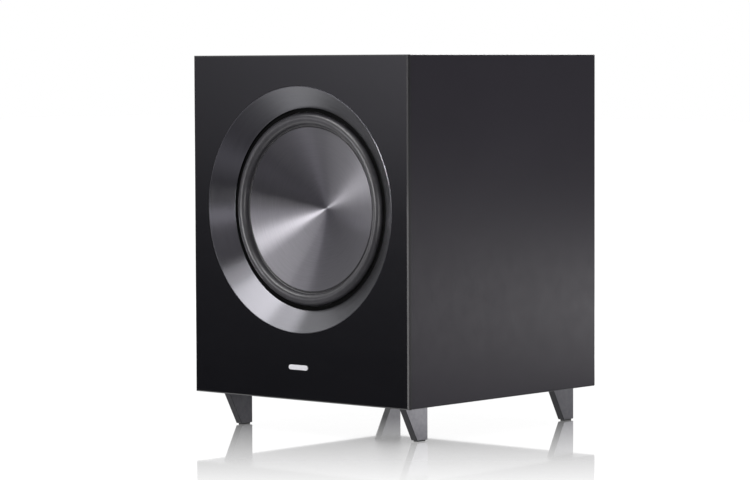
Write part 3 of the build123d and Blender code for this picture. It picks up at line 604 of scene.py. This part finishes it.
def socket_marks():
    """Printed rules round the sockets and the power switch, and a mark at each end of the phase switch."""
    margins = {"input_jack_sleeves": 0.006, "power_switch_body": 0.004, "mains_inlet": 0.004}
    rule_width, mark_width, mark_length = 0.0004, 0.0005, 0.0030
    mark_aside, mark_below = 0.0075, 0.006
    marks = []
    for node, margin in margins.items():
        lo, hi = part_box(node)
        x0, x1, z0, z1 = lo.x - margin, hi.x + margin, lo.z - margin, hi.z + margin
        for z in (z0, z1):
            marks.append(bar(((x0 + x1) / 2, z), x1 - x0, rule_width, 0.0))
        for x in (x0, x1):
            marks.append(bar((x, (z0 + z1) / 2), z1 - z0, rule_width, 90.0))
    switch = middle_of("phase_switch_body")
    for x in (switch.x - mark_aside, switch.x + mark_aside):
        marks.append(bar((x, switch.z - mark_below), mark_length, mark_width, 90.0))
    printed("plate_rules", marks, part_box("amp_plate")[1].y, "cabinet")


def pieces():
    dish()
    ring()
    surround()
    gasket()
    spider()
    knob_marks()
    socket_marks()


# ---------------------------------------------------------------- finishes of the CAD nodes

def cabinet_finishes():
    raw = fibreboard("raw_board", (0.20, 0.12, 0.06), (0.36, 0.24, 0.13))
    painted = moulded("black_board", (0.018, 0.018, 0.019), (0.031, 0.031, 0.033), 0.58, 900.0, 0.0001, 0.4)
    badge = brushed("badge_metal", (0.62, 0.62, 0.64), (0.80, 0.80, 0.82), 0.42, (120.0, 120.0, 4200.0), 0.55)
    port = moulded("port_plastic", (0.022, 0.022, 0.024), (0.036, 0.036, 0.039), 0.42, 2600.0, 0.00006)
    rubber = moulded("pad_rubber", (0.018, 0.018, 0.018), (0.03, 0.03, 0.03), 0.8, 1500.0)
    dress(cabinet_vinyl(), "top_board", "bottom_board", "left_board", "right_board")
    dress(gloss_panel(), "front_panel")
    dress(raw, "outer_baffle", "inner_baffle", "window_brace")
    dress(painted, "rear_board")
    dress(badge, "badge_bar")
    dress(port, "port_tube")
    dress(foot_metal(), "front_left_foot", "front_right_foot", "rear_left_foot", "rear_right_foot")
    dress(rubber, "foot_pads")


def driver_finishes():
    black_steel = moulded("black_steel", (0.018, 0.018, 0.019), (0.03, 0.03, 0.032), 0.42, 2400.0)
    foil = brushed("former_foil", (0.62, 0.62, 0.62), (0.75, 0.75, 0.75), 0.25, (200.0, 900.0, 200.0))
    ferrite = moulded("ferrite", (0.035, 0.035, 0.038), (0.060, 0.060, 0.064), 0.55, 1400.0, 0.0001)
    phenolic = moulded("phenolic", (0.12, 0.055, 0.02), (0.22, 0.11, 0.045), 0.5, 1600.0)
    wire_skin = moulded("wire_skin", (0.020, 0.020, 0.021), (0.035, 0.035, 0.036), 0.45, 1200.0)
    dress(black_steel, "driver_basket")
    dress(foil, "voice_coil_former")
    dress(ferrite, "magnet")
    dress(phenolic, "terminal_strip")
    dress(wire_skin, "speaker_lead")


def plate_finishes():
    paint = moulded("plate_paint", (0.034, 0.034, 0.036), (0.056, 0.056, 0.059), 0.46, 3000.0, 0.00008)
    fins = brushed("black_anodised", (0.035, 0.035, 0.038), (0.075, 0.075, 0.080), 0.40,
                   (2500.0, 2500.0, 60.0), 0.6)
    knob = moulded("knob_plastic", (0.016, 0.016, 0.017), (0.028, 0.028, 0.030), 0.32, 2800.0, 0.00003)
    plated = brushed("plated_steel", (0.48, 0.48, 0.48), (0.66, 0.66, 0.66), 0.30, (500.0, 2500.0, 500.0))
    switch = moulded("switch_plastic", (0.014, 0.014, 0.015), (0.024, 0.024, 0.026), 0.42, 3200.0, 0.00002)
    rocker = moulded("rocker_gloss", (0.012, 0.012, 0.013), (0.020, 0.020, 0.021), 0.22, 2000.0, 0.00001, 0.5)
    dress(paint, "amp_plate")
    dress(fins, "heat_sink")
    dress(knob, "level_knob", "crossover_knob")
    dress(plated, "level_potentiometer", "crossover_potentiometer", "level_shaft", "crossover_shaft")
    dress(switch, "phase_switch_body", "phase_slider", "power_switch_body", "mains_inlet")
    dress(rocker, "power_rocker")
    dress(jack_plastic(), "input_jack_block")
    dress(lens(), "status_light")


def amplifier_finishes():
    laminate = moulded("laminate", (0.010, 0.060, 0.028), (0.018, 0.090, 0.045), 0.35, 3000.0)
    epoxy = moulded("epoxy", (0.016, 0.016, 0.016), (0.028, 0.028, 0.028), 0.5, 2500.0)
    sleeve = brushed("can_sleeve", (0.02, 0.03, 0.09), (0.04, 0.06, 0.16), 0.35, (300.0, 300.0, 60.0), 0.2)
    core = brushed("laminations", (0.10, 0.095, 0.09), (0.20, 0.19, 0.18), 0.5,
                   (60.0, 3000.0, 60.0), 0.8, 0.0001)
    dress(laminate, "control_board", "amplifier_board")
    dress(epoxy, "output_transistors")
    dress(sleeve, "reservoir_capacitors")
    dress(core, "transformer_core")


def shared_finishes():
    """Finishes of small hardware that is found in more than one part of the object."""
    steel = brushed("zinc_steel", (0.42, 0.41, 0.37), (0.60, 0.58, 0.52), 0.38, (60.0, 60.0, 900.0))
    screw = moulded("black_screw", (0.030, 0.030, 0.031), (0.065, 0.065, 0.067), 0.30, 5000.0, 0.00002)
    copper = brushed("copper_wire", (0.32, 0.10, 0.035), (0.62, 0.26, 0.10), 0.32,
                     (300.0, 2600.0, 300.0), 1.0, 0.0001)
    nickel = brushed("nickel", (0.55, 0.53, 0.48), (0.72, 0.70, 0.64), 0.22,
                     (400.0, 3500.0, 400.0), 1.0, 0.00001)
    foam = moulded("foam", (0.010, 0.010, 0.010), (0.022, 0.022, 0.022), 0.92, 1800.0, 0.0003, 0.1)
    dress(steel, "front_plate", "yoke", "amp_cover")
    dress(screw, "driver_screws", "amp_plate_screws", "cover_screws", "foot_screws")
    dress(copper, "voice_coil", "transformer_coil", "tinsel_leads")
    dress(nickel, "terminal_tabs", "mains_inlet_pins", "input_jack_sleeves")
    dress(foam, "driver_seal", "amp_gasket")


# ---------------------------------------------------------------- studio

def floor():
    """Pale floor, most polished under the object and less so in front of it and behind it."""
    reach = 14.0
    corners = [(-reach, -reach, 0), (reach, -reach, 0), (reach, reach, 0), (-reach, reach, 0)]
    mesh = bpy.data.meshes.new("floor")
    mesh.from_pydata(corners, [], [(0, 1, 2, 3)])
    s = Shader("floor", (0.9, 0.9, 0.9), 0.9)
    tree = s.tree
    diffuse = s.node("ShaderNodeBsdfDiffuse", {"Color": (0.9, 0.9, 0.9, 1.0)})
    glow = s.node("ShaderNodeEmission", {"Color": (1.0, 1.0, 1.0, 1.0), "Strength": 1.24})
    matt = s.node("ShaderNodeMixShader", {"Fac": 0.7})
    gloss = s.node("ShaderNodeBsdfGlossy", {"Color": (1.0, 1.0, 1.0, 1.0), "Roughness": 0.04})
    inward = s.along(LOOK)
    front = s.ramp(inward, -0.50, 0.06, 0.62, 2.15)
    behind = s.ramp(inward, 0.25, 0.70, 1.0, 0.3)
    care = s.math("MULTIPLY", front, behind)
    grazing = s.math("MULTIPLY", s.node("ShaderNodeFresnel", {"IOR": 1.2}).outputs[0], care)
    polish = s.node("ShaderNodeMixShader", {"Fac": s.math("MINIMUM", grazing, 0.94)})
    tree.links.new(diffuse.outputs[0], matt.inputs[1])
    tree.links.new(glow.outputs[0], matt.inputs[2])
    tree.links.new(matt.outputs[0], polish.inputs[1])
    tree.links.new(gloss.outputs[0], polish.inputs[2])
    tree.links.new(polish.outputs[0], tree.nodes["Material Output"].inputs["Surface"])
    piece = link("floor", mesh, s.material)
    piece.visible_glossy = False


def held_range(nodes, source, low, high, start=0.0, end=1.0):
    """Maps source from low..high onto start..end, held at both ends."""
    made = nodes.new("ShaderNodeMapRange")
    for socket, value in (("From Min", low), ("From Max", high), ("To Min", start), ("To Max", end)):
        made.inputs[socket].default_value = value
    made.id_data.links.new(source, made.inputs["Value"])
    return made.outputs["Result"]


def shading(nodes, source, shades, tint=(1.0, 1.0, 1.0)):
    """Colour that follows source from -1 to 1, through pairs of place and brightness."""
    made = nodes.new("ShaderNodeValToRGB")
    stops = made.color_ramp.elements
    while len(stops) < len(shades):
        stops.new(0.5)
    for stop, (place, shade) in zip(stops, shades):
        stop.position = (place + 1) / 2
        stop.color = (shade * tint[0], shade * tint[1], shade * tint[2], 1.0)
    made.id_data.links.new(held_range(nodes, source, -1.0, 1.0), made.inputs["Fac"])
    return made.outputs["Color"]


def world():
    """White surroundings. Reflections see a dim room instead, except towards the rear left."""
    by_height = ((-1.0, 0.35), (-0.55, 0.46), (-0.20, 0.08), (-0.10, 0.02), (-0.05, 0.20), (-0.02, 0.75),
                 (0.02, 1.2), (0.08, 1.0), (0.15, 0.35), (0.35, 0.28), (0.6, 0.12), (1.0, 0.30))
    by_side = ((-1.0, 0.3), (-0.76, 0.3), (-0.70, 0.6), (-0.64, 1.4), (-0.5, 0.6), (-0.3, 0.35), (0.25, 0.4),
               (0.40, 1.1), (0.50, 0.9), (0.62, 0.14), (1.0, 0.25))
    cool = (0.97, 0.94, 1.04)
    made = bpy.data.worlds.new("studio")
    bpy.context.scene.world = made
    made.use_nodes = True
    nodes, links = made.node_tree.nodes, made.node_tree.links
    nodes.clear()
    way = nodes.new("ShaderNodeSeparateXYZ")
    links.new(nodes.new("ShaderNodeTexCoord").outputs["Generated"], way.inputs[0])
    white = nodes.new("ShaderNodeBackground")
    white.inputs["Color"].default_value = (1.0, 1.0, 1.0, 1.0)
    room = nodes.new("ShaderNodeBackground")
    links.new(shading(nodes, way.outputs["Z"], by_height, cool), room.inputs["Color"])
    links.new(shading(nodes, way.outputs["X"], by_side), room.inputs["Strength"])
    dim = nodes.new("ShaderNodeMath")
    dim.operation = "MAXIMUM"
    links.new(held_range(nodes, way.outputs["Y"], -0.50, -0.28, 1.0, 0.0), dim.inputs[0])
    links.new(held_range(nodes, way.outputs["X"], 0.14, 0.30), dim.inputs[1])
    reflected = nodes.new("ShaderNodeMath")
    reflected.operation = "MULTIPLY"
    links.new(nodes.new("ShaderNodeLightPath").outputs["Is Glossy Ray"], reflected.inputs[0])
    links.new(dim.outputs["Value"], reflected.inputs[1])
    mix = nodes.new("ShaderNodeMixShader")
    links.new(reflected.outputs["Value"], mix.inputs["Fac"])
    links.new(white.outputs[0], mix.inputs[1])
    links.new(room.outputs[0], mix.inputs[2])
    output = nodes.new("ShaderNodeOutputWorld")
    links.new(mix.outputs[0], output.inputs["Surface"])


def softbox(name, aim, first, last, distance, width, energy):
    """Rectangular area light that faces a point, between two directions from it."""
    ends = [aim + Vector(way).normalized() * distance for way in (first, last)]
    middle = (ends[0] + ends[1]) / 2
    along = (ends[1] - ends[0]).normalized()
    away = (middle - aim).normalized()
    across = away.cross(along).normalized()
    data = bpy.data.lights.new(name, "AREA")
    data.shape = "RECTANGLE"
    data.size = (ends[1] - ends[0]).length
    data.size_y = width
    data.energy = energy
    data.color = (1.0, 0.985, 1.0)
    lamp = bpy.data.objects.new(name, data)
    turn = Matrix((along, across, along.cross(across))).transposed()
    lamp.matrix_world = Matrix.Translation(middle) @ turn.to_4x4()
    lamp.visible_camera = False
    bpy.context.scene.collection.objects.link(lamp)
    return lamp


def lights():
    driver = Vector((0.0, FRONT_Y * MM, DRIVER_Z * MM))
    rear = Vector((0.0, -FRONT_Y * MM, DRIVER_Z * MM))
    softbox("key", driver, (-0.40, -0.92, 0.045), (-0.40, -0.92, 0.115), distance=1.8, width=0.10, energy=5.8)
    softbox("overhead", driver, (0.317, -0.743, 0.58), (-0.654, -0.235, 0.715),
            distance=1.5, width=0.34, energy=4.9)
    softbox("overhead_middle", driver, (0.13, -0.67, 0.72), (-0.36, -0.44, 0.80),
            distance=1.4, width=0.30, energy=2.6)
    softbox("camera_side", driver, (0.76, -0.65, -0.30), (0.76, -0.65, 0.22),
            distance=1.5, width=0.2, energy=1.6)
    softbox("camera_side_low", driver, (0.76, -0.65, -0.30), (0.76, -0.65, -0.03),
            distance=1.5, width=0.2, energy=0.9)
    softbox("side_low", driver, (0.80, 0.52, -0.16), (0.26, 0.93, -0.16),
            distance=0.93, width=0.12, energy=0.7)
    softbox("rear", rear, (-0.10, 0.85, 0.60), (-0.85, 0.30, 0.60), distance=1.7, width=0.7, energy=26.0)
    foot_glint()


def foot_glint():
    """Small lamp that lights only the near foot."""
    aim = middle_of("front_right_foot") - Vector((0.08, 0.0, 0.0))
    lamp = softbox("foot_glint", aim, (0.90, 0.40, 0.0), (0.70, 0.72, 0.0),
                   distance=0.26, width=0.08, energy=0.062)
    lit = bpy.data.collections.new("foot_glint_lights")
    lit.objects.link(NODES["front_right_foot"])
    lamp.light_linking.receiver_collection = lit


def camera():
    """Long lens, just below the height of the cabinet's top."""
    place = Vector((2.1362, -2.4932, 0.3775))
    yaw, pitch, roll = (math.radians(a) for a in (41.022, 3.218, -0.213))
    forward = Vector((-math.sin(yaw) * math.cos(pitch), math.cos(yaw) * math.cos(pitch), -math.sin(pitch)))
    level = Vector((math.cos(yaw), math.sin(yaw), 0.0))
    upright = level.cross(forward)
    right = level * math.cos(roll) + upright * math.sin(roll)
    up = upright * math.cos(roll) - level * math.sin(roll)
    data = bpy.data.cameras.new("camera")
    data.lens = 150.3
    data.sensor_width = 36.0
    data.clip_end = 60.0
    shot = bpy.data.objects.new("camera", data)
    turn = Matrix((right, up, -forward)).transposed()
    shot.matrix_world = Matrix.Translation(place) @ turn.to_4x4()
    bpy.context.scene.collection.objects.link(shot)
    bpy.context.scene.camera = shot


camera()
INK = print_ink()
pieces()
cabinet_finishes()
driver_finishes()
plate_finishes()
amplifier_finishes()
shared_finishes()
floor()
world()
lights()
bpy.context.scene.view_settings.view_transform = "Standard"
